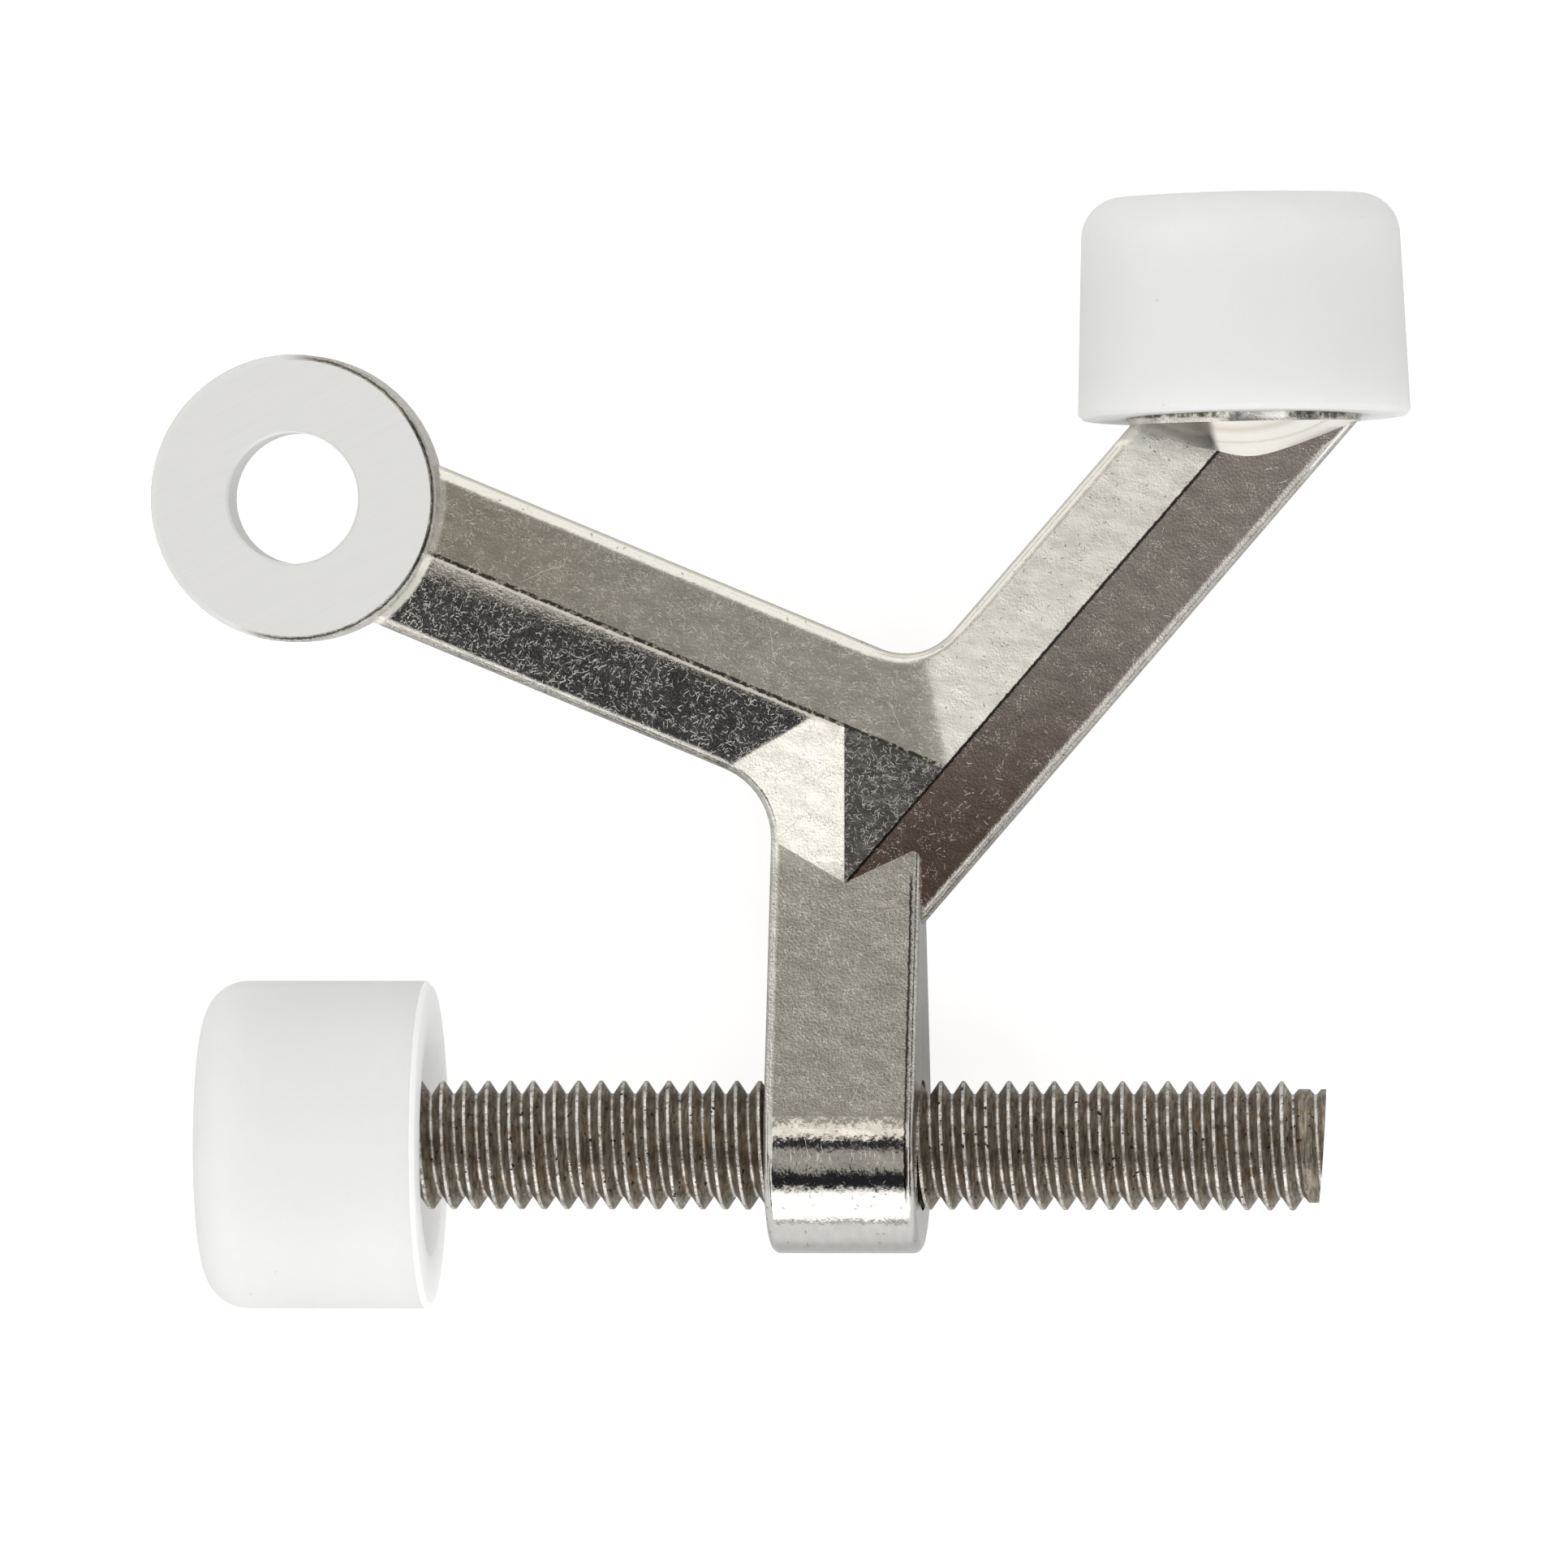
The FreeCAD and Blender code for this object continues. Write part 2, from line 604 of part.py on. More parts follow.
place(
    slanted_cup,
    f"{STUD_X} - {NOSE_RISE} * sin(sizes.stud_lean)",
    f"sizes.stud_base_level + {NOSE_RISE} * cos(sizes.stud_lean)",
    "0",
    "180 + sizes.stud_lean",
)
doc.recompute()
rod_bumper = lipped("rod_bumper", rod_cup, FreeCAD.Vector(1, 0, 0))
fixed_bumper = lipped("fixed_bumper", slanted_cup, FreeCAD.Vector(0, -1, 0))
doc.recompute()

PIECES = (casting, threaded_rod, rod_bumper, fixed_bumper)
for item in doc.Objects:
    if any(state in ("Invalid", "Error") for state in item.State):
        raise RuntimeError("%s did not compute" % item.Label)
os.makedirs("parts", exist_ok=True)
for piece in PIECES:
    shape = piece.Shape
    if shape.isNull() or not shape.isValid() or len(shape.Solids) != 1:
        raise RuntimeError("%s is not one valid solid" % piece.Label)
for piece in PIECES:
    piece.Shape.exportStep("parts/%s.step" % piece.Label)
    print("%s %.1f mm3" % (piece.Label, piece.Shape.Volume))
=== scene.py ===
import math

import bmesh
import bpy
from mathutils import Euler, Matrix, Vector, noise


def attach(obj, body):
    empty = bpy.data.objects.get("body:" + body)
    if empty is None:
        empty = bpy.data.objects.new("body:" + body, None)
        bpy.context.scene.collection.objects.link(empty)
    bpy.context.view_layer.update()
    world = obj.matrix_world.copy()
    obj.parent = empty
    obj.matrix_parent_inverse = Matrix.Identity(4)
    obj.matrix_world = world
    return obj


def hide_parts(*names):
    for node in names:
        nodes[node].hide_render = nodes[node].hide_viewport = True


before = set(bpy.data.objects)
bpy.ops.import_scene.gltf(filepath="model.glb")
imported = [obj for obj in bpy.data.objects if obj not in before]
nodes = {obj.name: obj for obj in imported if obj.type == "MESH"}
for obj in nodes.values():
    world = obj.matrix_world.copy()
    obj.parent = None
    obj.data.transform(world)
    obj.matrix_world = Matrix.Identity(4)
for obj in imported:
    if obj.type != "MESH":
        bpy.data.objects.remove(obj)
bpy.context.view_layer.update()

MM = 0.001

# Where the parts of the object are, in millimetres in the row frame
RING_RADIUS = 8.85
RING_FACE_LEVEL = 2.5
BORE_RADIUS = 4.025
LEFT_ARM_TURN = 22.5
RIGHT_ARM_TURN = 49.1
LEG_X = 34.05
HUB_TIP_Y = -23.65
ROD_Y = -39.8
LEFT_ARM_HALF = 5.25
RIGHT_ARM_HALF = 5.2
LEG_HALF = 4.65
UPPER_BLEND = 5.45
LOWER_BLEND = 5.6
RIDGE_END_Y = 2.9
BOSS_TOP_Y = -37.9
VALLEY_START = (32.51, -13.2)
VALLEY_TURN = 29.5
ARMS_CROSS = (40.135, -16.62)
ARMS_VALLEY_TURN = 103.3
LOWER_FACE_LEAN = (-0.113, -0.273)
UPPER_FACE_LEAN = (0.113, 0.273)
RIGHT_FACE_LEAN = (-0.2235, 0.1936)
LEG_FACE_LEAN = (-0.168, 0.0)

# The rod, in millimetres
PITCH = 1.3993
CREST_RADIUS = 3.97
ROOT_RADIUS = 3.17
HEAD_LEFT = -2.15
HEAD_RIGHT = 0.85
HEAD_RADIUS = 6.7
HEAD_ROUND = 0.5
ROD_END = 63.32
THREAD_SHIFT = 0.63
BLUNT_FROM = 61.85
BLUNT_RADIUS = 3.5
END_SLANT = (0.0625, 0.094)
TURN_STEPS = 72
CREST_WEAR = 0.025

# The thread's outline over one pitch as share and radius, and the shares at which it is drawn
PROFILE = (
    (0.0, CREST_RADIUS),
    (0.06, CREST_RADIUS),
    (0.45, ROOT_RADIUS),
    (0.55, ROOT_RADIUS),
    (0.94, CREST_RADIUS),
    (1.0, CREST_RADIUS),
)
SHARES = (0.0, 0.055, 0.08, 0.25, 0.43, 0.47, 0.53, 0.57, 0.75, 0.92, 0.945)


def node(tree, kind, **settings):
    """A new node. A setting is a property of the node, or else the value of one of its sockets."""
    made = tree.nodes.new("ShaderNode" + kind)
    for name, value in settings.items():
        if hasattr(made, name):
            setattr(made, name, value)
        else:
            made.inputs[name.replace("_", " ")].default_value = value
    return made


def join(tree, source, target):
    """Joins an output to an input, or writes a plain number or colour on the input."""
    if isinstance(source, bpy.types.NodeSocket):
        tree.links.new(source, target)
    else:
        target.default_value = source


def calc(tree, operation, *values, clamp=False):
    made = node(tree, "Math", operation=operation, use_clamp=clamp)
    for value, socket in zip(values, made.inputs):
        join(tree, value, socket)
    return made.outputs[0]


def length(tree, first, second):
    """The length of a slanting line from its two sides."""
    squares = (calc(tree, "MULTIPLY", side, side) for side in (first, second))
    return calc(tree, "SQRT", calc(tree, "ADD", *squares))


def step(tree, value, low, high):
    """0 where value is low and 1 where it is high, with a smooth change between. Low may be the larger."""
    made = node(tree, "MapRange", interpolation_type="SMOOTHSTEP")
    join(tree, value, made.inputs["Value"])
    join(tree, low, made.inputs["From Min"])
    join(tree, high, made.inputs["From Max"])
    return made.outputs["Result"]


def blend(tree, share, first, second):
    """A colour between first and second."""
    made = node(tree, "Mix", data_type="RGBA")
    join(tree, share, made.inputs[0])
    join(tree, first, made.inputs[6])
    join(tree, second, made.inputs[7])
    return made.outputs[2]


def between(tree, share, first, second):
    """A number between first and second."""
    made = node(tree, "Mix", data_type="FLOAT")
    join(tree, share, made.inputs[0])
    join(tree, first, made.inputs[2])
    join(tree, second, made.inputs[3])
    return made.outputs[0]


def scaled(tree, vector, size, turn=(0, 0, 0)):
    """The vector times size, after a turn."""
    made = node(tree, "Mapping")
    join(tree, vector, made.inputs["Vector"])
    made.inputs["Scale"].default_value = size
    made.inputs["Rotation"].default_value = turn
    return made.outputs["Vector"]


def grain(tree, vector, scale, detail=2.0, rough=0.5, distortion=0.0):
    made = node(tree, "TexNoise")
    join(tree, vector, made.inputs["Vector"])
    made.inputs["Scale"].default_value = scale
    made.inputs["Detail"].default_value = detail
    made.inputs["Roughness"].default_value = rough
    made.inputs["Distortion"].default_value = distortion
    return made.outputs["Fac"]


def material(name):
    """A material with one Principled shader, the object's coordinates in millimetres and their parts."""
    made = bpy.data.materials.new(name)
    made.use_nodes = True
    tree = made.node_tree
    shader = tree.nodes["Principled BSDF"]
    place = node(tree, "TexCoord").outputs["Object"]
    place = scaled(tree, place, (1 / MM,) * 3)
    parts = node(tree, "SeparateXYZ")
    tree.links.new(place, parts.inputs[0])
    return made, tree, shader, place, parts.outputs


def bumped(tree, shader, height, distance):
    """The height field, in units of distance in metres, drives the shader's normal."""
    made = node(tree, "Bump")
    made.inputs["Distance"].default_value = distance
    tree.links.new(height, made.inputs["Height"])
    tree.links.new(made.outputs[0], shader.inputs["Normal"])


def paint(name, look):
    mesh = nodes[name].data if isinstance(name, str) else name.data
    mesh.materials.clear()
    mesh.materials.append(look)


def line_side(tree, x, y, through, turn):
    """Distance of a place from a line of the plan, positive to the left of its direction."""
    c, s = math.cos(math.radians(turn)), math.sin(math.radians(turn))
    across = calc(tree, "SUBTRACT", calc(tree, "MULTIPLY", y, c), calc(tree, "MULTIPLY", x, s))
    return calc(tree, "SUBTRACT", across, through[1] * c - through[0] * s)


def band(tree, value, low, high, soft):
    """1 where value lies from low to high, with soft ends."""
    return both(tree, step(tree, value, low - soft, low + soft), step(tree, value, high + soft, high - soft))


def both(tree, *masks):
    """The product of masks."""
    result = masks[0]
    for mask in masks[1:]:
        result = calc(tree, "MULTIPLY", result, mask)
    return result


def turned(tree, vector, degrees):
    """The vector turned about Z."""
    made = node(tree, "VectorRotate", rotation_type="Z_AXIS", Angle=math.radians(degrees))
    join(tree, vector, made.inputs["Vector"])
    return made.outputs[0]


def triple(tree, x, y, z):
    made = node(tree, "CombineXYZ")
    for value, socket in zip((x, y, z), made.inputs):
        join(tree, value, socket)
    return made.outputs[0]


def strokes(tree, place, cell, half_length, half_width, share):
    """1 on short strokes of the plan, turned at random, in a share of cells of that size."""
    cells = node(tree, "TexVoronoi", voronoi_dimensions="2D", Scale=1 / cell)
    join(tree, place, cells.inputs["Vector"])
    offset = node(tree, "VectorMath", operation="SUBTRACT")
    join(tree, place, offset.inputs[0])
    join(tree, cells.outputs["Position"], offset.inputs[1])
    chance = node(tree, "SeparateColor")
    join(tree, cells.outputs["Color"], chance.inputs[0])
    turn = node(tree, "VectorRotate", rotation_type="Z_AXIS")
    join(tree, offset.outputs[0], turn.inputs["Vector"])
    join(tree, calc(tree, "MULTIPLY", chance.outputs[0], 2 * math.pi), turn.inputs["Angle"])
    parts = node(tree, "SeparateXYZ")
    join(tree, turn.outputs[0], parts.inputs[0])
    along = step(tree, calc(tree, "ABSOLUTE", parts.outputs[0]), half_length, 0.6 * half_length)
    across = step(tree, calc(tree, "ABSOLUTE", parts.outputs[1]), half_width, 0.3 * half_width)
    return both(tree, along, across, step(tree, chance.outputs[1], share + 0.01, share - 0.01))


# Nickel plate over a cast skin, with ground faces on the ring
def nickel():
    made, tree, shader, place, (x, y, z) = material("nickel")
    radius = length(tree, x, y)
    level = calc(tree, "ABSOLUTE", z)
    on_face = both(
        tree,
        step(tree, level, RING_FACE_LEVEL - 0.03, RING_FACE_LEVEL - 0.01),
        step(tree, radius, RING_RADIUS, RING_RADIUS - 0.1),
    )
    toward = calc(tree, "DIVIDE", line_side(tree, x, y, (0, 0), -10 - 90), radius)
    chamfer = both(
        tree,
        step(tree, level, RING_FACE_LEVEL - 0.36, RING_FACE_LEVEL - 0.3),
        step(tree, toward, 0.0, -0.3),
        step(tree, radius, RING_RADIUS + 0.02, RING_RADIUS),
    )
    on_face = calc(tree, "MAXIMUM", on_face, chamfer)
    in_bore = step(tree, radius, BORE_RADIUS + 0.3, BORE_RADIUS + 0.05)
    ragged = calc(tree, "MULTIPLY", calc(tree, "SUBTRACT", grain(tree, place, 2.8, 4.0, 0.8), 0.5), 0.30)
    lean = node(tree, "SeparateXYZ")
    join(tree, node(tree, "NewGeometry").outputs["Normal"], lean.inputs[0])
    sheer = step(tree, calc(tree, "ABSOLUTE", lean.outputs[2]), 0.55, 0.35)
    on_cone = both(
        tree,
        step(tree, lean.outputs[1], -0.32, -0.42),
        step(tree, lean.outputs[0], 0.6, 0.5),
        step(tree, y, 1.5, 2.0),
        step(tree, calc(tree, "ABSOLUTE", lean.outputs[2]), 0.02, 0.10),
    )
    left = line_side(tree, x, y, (0, 0), -LEFT_ARM_TURN)
    right = line_side(tree, x, y, (LEG_X, HUB_TIP_Y), RIGHT_ARM_TURN)
    past_ring = step(tree, radius, RING_RADIUS, RING_RADIUS + 0.2)
    below_stud = step(tree, y, RIDGE_END_Y + 0.15, RIDGE_END_Y - 0.15)
    on_boss = both(tree, step(tree, y, BOSS_TOP_Y + 0.8, BOSS_TOP_Y - 0.4), step(tree, y, -60.0, -59.0))

    # How far inside the outline a place is, from the upper, the lower left and the lower right side
    upper = calc(
        tree,
        "SMOOTH_MAX",
        calc(tree, "SUBTRACT", LEFT_ARM_HALF, left),
        calc(tree, "SUBTRACT", RIGHT_ARM_HALF, right),
        UPPER_BLEND,
    )
    lower_left = calc(
        tree,
        "SMOOTH_MAX",
        calc(tree, "ADD", LEFT_ARM_HALF, left),
        calc(tree, "SUBTRACT", x, LEG_X - LEG_HALF),
        LOWER_BLEND,
    )
    lower_right = calc(tree, "ADD", RIGHT_ARM_HALF, right)
    beside_leg = step(tree, x, LEG_X + LEG_HALF, LEG_X + LEG_HALF + 0.1)
    height = 0.0
    for depth, wide, where in ((upper, 0.85, 1.0), (lower_left, 0.7, 1.0), (lower_right, 0.8, beside_leg)):
        fall = calc(tree, "SUBTRACT", 1.0, calc(tree, "DIVIDE", depth, wide))
        fall = calc(tree, "MAXIMUM", calc(tree, "MINIMUM", fall, 0.58), 0.0)
        height = calc(tree, "SUBTRACT", height, both(tree, fall, fall, 0.32 * wide, where))
    height = both(tree, height, past_ring, step(tree, y, 3.6, 3.0))

    # Below the left arm's ridge the face curves in more slowly than in a flat roof, most of all near the ring
    reach = between(tree, step(tree, x, 9.0, 25.0), 3.0, 0.9)
    near = calc(tree, "ADD", 1.0, calc(tree, "DIVIDE", left, reach))
    near = calc(tree, "MAXIMUM", calc(tree, "MINIMUM", near, 1.0), 0.0)
    near = both(tree, near, near, near, reach, step(tree, x, LEG_X, LEG_X - 0.5), past_ring)
    height = calc(tree, "SUBTRACT", height, calc(tree, "MULTIPLY", near, 0.062))

    # Short raised strokes over a grainy skin, also painted pale as glints. They show most on the faces that
    # mirror the dark.
    below_left = both(tree, step(tree, left, 0.05, -0.05), step(tree, x, LEG_X, LEG_X - 0.1))
    valley_side = line_side(tree, x, y, VALLEY_START, VALLEY_TURN)
    below_left = both(tree, below_left, step(tree, valley_side, -0.2, 0.1))
    above_leg = step(tree, line_side(tree, x, y, (LEG_X, HUB_TIP_Y), 23.5), -0.1, 0.1)
    below_right = both(
        tree,
        step(tree, calc(tree, "MINIMUM", left, right), 0.05, -0.05),
        step(tree, x, LEG_X - 0.05, LEG_X + 0.05),
        calc(tree, "MAXIMUM", above_leg, beside_leg),
    )
    in_dark = calc(tree, "MAXIMUM", below_left, below_right)
    bend = node(tree, "TexNoise", Scale=1.1, Detail=2.0)
    join(tree, place, bend.inputs["Vector"])
    bent = node(tree, "VectorMath", operation="MULTIPLY_ADD")
    join(tree, bend.outputs["Color"], bent.inputs[0])
    bent.inputs[1].default_value = (0.35, 0.35, 0.35)
    join(tree, place, bent.inputs[2])
    bent = bent.outputs[0]
    on_right = both(tree, below_right, step(tree, right, 0.05, -0.05))
    on_hub = both(tree, below_right, step(tree, right, -0.05, 0.05))
    stroke_and_glint = strokes(tree, bent, 0.25, 0.13, 0.024, 0.8)
    stroke_and_glint = calc(tree, "MAXIMUM", stroke_and_glint, strokes(tree, bent, 0.43, 0.26, 0.022, 0.8))
    stroke_and_glint = calc(tree, "MAXIMUM", stroke_and_glint, strokes(tree, bent, 0.83, 0.36, 0.024, 0.6))
    stroke_and_glint = both(tree, stroke_and_glint, step(tree, grain(tree, place, 1.7, 3.0, 0.6), 0.40, 0.66))
    speck = both(
        tree,
        strokes(tree, place, 0.17, 0.07, 0.028, 0.6),
        step(tree, grain(tree, place, 0.9, 3.0, 0.65), 0.36, 0.72),
    )
    speck = calc(tree, "MAXIMUM", speck, strokes(tree, bent, 0.9, 0.24, 0.022, 0.25))
    stroke_and_glint = between(tree, on_right, stroke_and_glint, calc(tree, "MULTIPLY", speck, 0.65))
    stroke_and_glint = both(tree, stroke_and_glint, between(tree, in_dark, between(tree, on_boss, 0.45, 0.05), 0.72))
    scratch = strokes(tree, bent, 5.2, 1.3, 0.022, 0.5)
    scratch = both(tree, scratch, between(tree, in_dark, 0.5, 0.25), past_ring)
    stroke_and_glint = calc(tree, "MAXIMUM", stroke_and_glint, scratch)
    pit = strokes(tree, bent, 0.75, 0.11, 0.045, 0.4)
    skin = grain(tree, place, 1.3, 4.0, 0.6, 0.3)
    fine = grain(tree, place, 6.5, 3.0, 0.65)
    dents = grain(tree, place, 0.22, 2.0)
    brushed = grain(tree, scaled(tree, turned(tree, place, -27), (0.16, 9, 1)), 1.0, 3.0, 0.6)
    parting = step(tree, level, 0.07, 0.02)
    patchy = step(tree, grain(tree, place, 0.7, 3.0, 0.6), 0.36, 0.66)
    on_leg = both(tree, step(tree, y, HUB_TIP_Y + 2.0, HUB_TIP_Y), calc(tree, "SUBTRACT", 1.0, beside_leg))
    calm = between(tree, calc(tree, "MAXIMUM", patchy, calc(tree, "MAXIMUM", on_leg, in_dark)), 0.35, 1.0)
    on_edge = both(tree, step(tree, upper, 0.9, 0.6), past_ring)
    calm = calc(tree, "MULTIPLY", calm, between(tree, on_edge, 1.0, 0.25))
    on_leg = calc(tree, "SUBTRACT", on_leg, both(tree, on_leg, in_dark))
    grainy = between(tree, on_leg, 0.0125, 0.0155)
    grainy = both(tree, fine, calm, between(tree, on_hub, grainy, 0.004))
    pale_leg = both(
        tree,
        step(tree, left, 0.05, -0.05),
        step(tree, x, LEG_X, LEG_X - 0.1),
        calc(tree, "SUBTRACT", 1.0, calc(tree, "MAXIMUM", below_left, on_leg)),
    )
    smooth = calc(tree, "MAXIMUM", pale_leg, on_cone)
    pit = calc(tree, "MULTIPLY", pit, between(tree, smooth, 1.0, 0.25))
    stroke_and_glint = both(tree, stroke_and_glint, between(tree, on_cone, 1.0, 0.1), between(tree, on_hub, 1.0, 0.7))
    rough_skin = calc(tree, "MULTIPLY", stroke_and_glint, 0.010)
    rough_skin = calc(tree, "ADD", rough_skin, grainy)
    for part, much in ((pit, -0.010), (skin, 0.020), (dents, 0.05), (parting, 0.05)):
        rough_skin = calc(tree, "ADD", rough_skin, calc(tree, "MULTIPLY", part, much))
    rough_skin = calc(tree, "MULTIPLY", rough_skin, between(tree, on_boss, 1.0, 0.35))
    fringe = grain(tree, scaled(tree, place, (2.4, 1.0, 1.0)), 1.0, 2.0, 0.5)
    rough_skin = calc(tree, "ADD", rough_skin, both(tree, fringe, on_boss, 0.038))
    height = calc(tree, "ADD", height, rough_skin)
    height = between(tree, on_face, height, calc(tree, "MULTIPLY", brushed, 0.004))
    bump = node(tree, "Bump", Distance=MM)
    join(tree, height, bump.inputs["Height"])
    join(tree, valley_normal(tree, x, y, left, right), bump.inputs["Normal"])
    join(tree, bump.outputs[0], shader.inputs["Normal"])

    warm = blend(tree, grain(tree, place, 0.16, 3.0), (0.66, 0.64, 0.60, 1), (0.73, 0.70, 0.65, 1))
    # Painted light and shade of the skin's fine grain: the grain minus a slightly shifted copy, so its bumps
    # look lit from one side
    shifted = node(tree, "VectorMath", operation="ADD")
    join(tree, place, shifted.inputs[0])
    shifted.inputs[1].default_value = (0.035, 0.045, 0.0)
    painted_relief_shade = calc(tree, "SUBTRACT", fine, grain(tree, shifted.outputs[0], 6.5, 3.0, 0.65))
    painted_relief_shade = both(tree, painted_relief_shade, calm, between(tree, on_boss, between(tree, on_leg, 2.4, 3.4), 0.6))
    painted_relief_shade = calc(tree, "ADD", painted_relief_shade, 0.5, clamp=True)
    warm = blend(tree, painted_relief_shade, scaled(tree, warm, (0.50,) * 3), scaled(tree, warm, (1.35,) * 3))
    drawn_out = scaled(tree, turned(tree, place, 15), (0.5, 1.2, 1))
    mottle = step(tree, grain(tree, drawn_out, 1.0, 4.0, 0.6), 0.3, 0.7)
    warm = blend(tree, mottle, scaled(tree, warm, (0.78,) * 3), scaled(tree, warm, (1.0,) * 3))
    # Painted reflection tones of the faces: darker on the upper face toward the ring, lighter on the other
    # upper face and on the leg's left face
    arms_side = line_side(tree, x, y, ARMS_CROSS, ARMS_VALLEY_TURN)
    above = both(tree, step(tree, left, -0.05, 0.05), step(tree, right, -0.05, 0.05))
    toward_ring = both(tree, above, step(tree, arms_side, -1.1, 1.1), step(tree, x, 30.0, 9.0))
    warm = blend(tree, toward_ring, warm, scaled(tree, warm, (0.80, 0.78, 0.74)))
    fading = between(tree, step(tree, y, -18.0, 0.0), 0.8, 0.4)
    upper_right = both(tree, above, step(tree, arms_side, 1.1, -1.1), fading)
    lighter = calc(tree, "MAXIMUM", pale_leg, upper_right)
    warm = blend(tree, lighter, warm, scaled(tree, warm, (1.34, 1.36, 1.38)))
    # Painted highlight along the rounded upper edges
    warm = blend(tree, on_edge, warm, (0.82, 0.79, 0.72, 1))
    below_band = both(tree, on_boss, step(tree, y, -42.4, -42.7))
    pale = blend(tree, fringe, (0.66, 0.655, 0.64, 1), (0.86, 0.855, 0.84, 1))
    warm = blend(tree, below_band, warm, pale)
    # Painted shade on the steep side walls
    warm = blend(tree, both(tree, sheer, past_ring), warm, scaled(tree, warm, (0.72,) * 3))
    # Painted glints: the strokes are painted pale
    warm = blend(tree, calc(tree, "MULTIPLY", stroke_and_glint, 0.7), warm, (0.92, 0.90, 0.86, 1))
    # Painted shade in the pits
    warm = blend(tree, calc(tree, "MULTIPLY", pit, 0.65), warm, (0.16, 0.15, 0.14, 1))

    # Along the two arms' ridges a dark line of painted shade runs on one side, and below the left one a pale
    # band is partly wear and partly a painted highlight
    left_line = calc(tree, "ADD", left, ragged)
    right_line = calc(tree, "ADD", right, ragged)
    short_of_hub = both(tree, step(tree, x, LEG_X, LEG_X - 0.3), past_ring)
    past_hub = both(tree, step(tree, x, LEG_X, LEG_X + 0.3), below_stud)
    above_foot = step(tree, y, HUB_TIP_Y - 0.2, HUB_TIP_Y + 0.2)
    wear_and_highlight = both(tree, band(tree, left_line, -0.20, -0.02, 0.05), short_of_hub)
    broken = step(tree, grain(tree, place, 3.2, 2.0), 0.34, 0.50)
    before_valley = step(tree, x, ARMS_CROSS[0], ARMS_CROSS[0] - 0.2)
    dark = both(tree, band(tree, left_line, -0.02, 0.22, 0.03), broken, past_ring, before_valley)
    dark_right = both(tree, band(tree, right_line, -0.16, 0.03, 0.04), past_hub, above_foot)
    dark = calc(tree, "MAXIMUM", dark, dark_right)

    # Thin dark lines of painted shade: by the flash along the lower edges, in the groove down the leg's right
    # side, at the ring's edge
    right_rim = calc(tree, "ADD", lower_right, ragged)
    flash = both(tree, band(tree, right_rim, 0.22, 0.29, 0.03), past_hub, beside_leg)
    left_rim = calc(tree, "ADD", lower_left, ragged)
    flash_left = both(tree, band(tree, left_rim, 0.20, 0.27, 0.03), step(tree, x, 29.0, 27.0), past_ring)
    flash = calc(tree, "MULTIPLY", calc(tree, "MAXIMUM", flash, flash_left), 0.6)
    groove = band(tree, calc(tree, "SUBTRACT", calc(tree, "ADD", x, ragged), LEG_X), 4.05, 4.19, 0.04)
    groove = both(
        tree,
        groove,
        step(tree, y, -23.0, -23.6),
        step(tree, y, -43.5, -42.5),
        step(tree, z, 0, 0.5),
    )
    edge = both(
        tree,
        band(tree, calc(tree, "ADD", radius, ragged), RING_RADIUS - 0.26, RING_RADIUS - 0.15, 0.05),
        step(tree, toward, -0.30, 0.1),
        step(tree, level, 2.0, 2.2),
    )
    for line in (flash, groove, edge):
        dark = calc(tree, "MAXIMUM", dark, line)
    warm = blend(tree, wear_and_highlight, warm, (0.90, 0.86, 0.78, 1))
    warm = blend(tree, calc(tree, "MULTIPLY", dark, 0.92), warm, (0.03, 0.028, 0.026, 1))

    # The cone under the fixed bumper is dull, with a painted reflection: dark left of the arm's ridge, and
    # bright with darker streaked arcs right of it
    bow = calc(tree, "SUBTRACT", x, 54.4)
    bow = calc(tree, "MULTIPLY", calc(tree, "MULTIPLY", bow, bow), 0.06)
    rim = calc(tree, "SUBTRACT", line_side(tree, x, y, (52.0, 4.15), -17.6), bow)
    shade = blend(tree, step(tree, rim, 0.60, 0.90), (0.03, 0.026, 0.020, 1), (0.14, 0.127, 0.10, 1))
    arc = node(tree, "VectorMath", operation="DISTANCE")
    join(tree, triple(tree, x, y, 0.0), arc.inputs[0])
    arc.inputs[1].default_value = (58.4, 15.1, 0)
    arc = calc(tree, "ADD", arc.outputs["Value"], calc(tree, "MULTIPLY", ragged, 0.5))
    streak = calc(tree, "MAXIMUM", band(tree, arc, 11.72, 11.82, 0.08), band(tree, arc, 10.85, 11.15, 0.2))
    streak = calc(tree, "MULTIPLY", streak, 0.55)
    pale_shade = blend(tree, streak, (1.0, 0.99, 0.96, 1), (0.62, 0.56, 0.42, 1))
    shade = blend(tree, step(tree, x, 56.7, 57.3), shade, pale_shade)
    warm = blend(tree, on_cone, warm, shade)
    # Painted shadow in patches on the disc's side wall under the bumper, with a painted highlight band across
    # it
    under_bumper = both(tree, step(tree, calc(tree, "ADD", y, ragged), 4.75, 4.9), step(tree, x, 48.0, 49.0))
    patches = step(tree, grain(tree, place, 1.6, 3.0, 0.7), 0.36, 0.60)
    rim_shade = blend(tree, patches, (0.62, 0.60, 0.54, 1), (0.10, 0.09, 0.075, 1))
    rim_shade = blend(tree, band(tree, x, 57.8, 61.6, 0.25), rim_shade, (1.0, 0.98, 0.94, 1))
    warm = blend(tree, under_bumper, warm, rim_shade)
